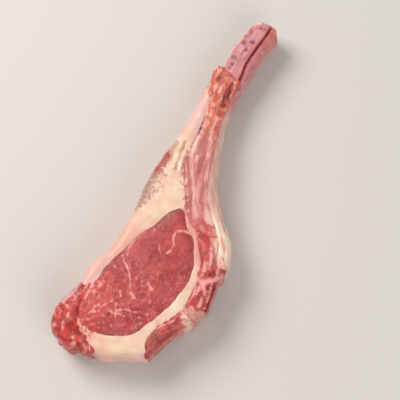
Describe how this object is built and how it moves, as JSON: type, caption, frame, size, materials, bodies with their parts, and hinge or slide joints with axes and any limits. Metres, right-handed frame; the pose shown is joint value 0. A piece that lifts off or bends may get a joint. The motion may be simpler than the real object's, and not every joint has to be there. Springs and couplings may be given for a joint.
{
  "type": "raw lamb rib chop",
  "caption": "Raw lamb rib chop lying on a cut face: an oval eye of meat ringed by fat and small muscles, on a curved rib bone that is scraped bare at its tip.",
  "frame": {"origin": "centre of the bounding box at its bottom, on the surface that the chop lies on", "axes": "+Y along the chop towards the bare tip of the bone, +Z through its thickness towards the cut face that shows, +X towards the thick end of the bone"},
  "size_m": [0.0556, 0.1638, 0.0215],
  "materials": {
    "bone": "damp raw bone, pink and cream with a dark red line",
    "thin_meat": "damp dusky pink meat with pale sinew",
    "fat": "smooth damp cream fat, pinker at its edges",
    "meat": "damp dull red muscle with fine pale marbling",
    "torn_meat": "ragged bright red meat"
  },
  "bodies": {
    "root": {"rib_bone": "bone", "rib_meat": "thin_meat", "fat_cap": "fat", "eye_muscle": "meat", "wrap_fat": "fat", "chine_meat": "meat", "side_muscle": "meat", "side_fat": "fat", "corner_muscle": "meat", "tip_meat": "torn_meat"}
  },
  "joints": []
}
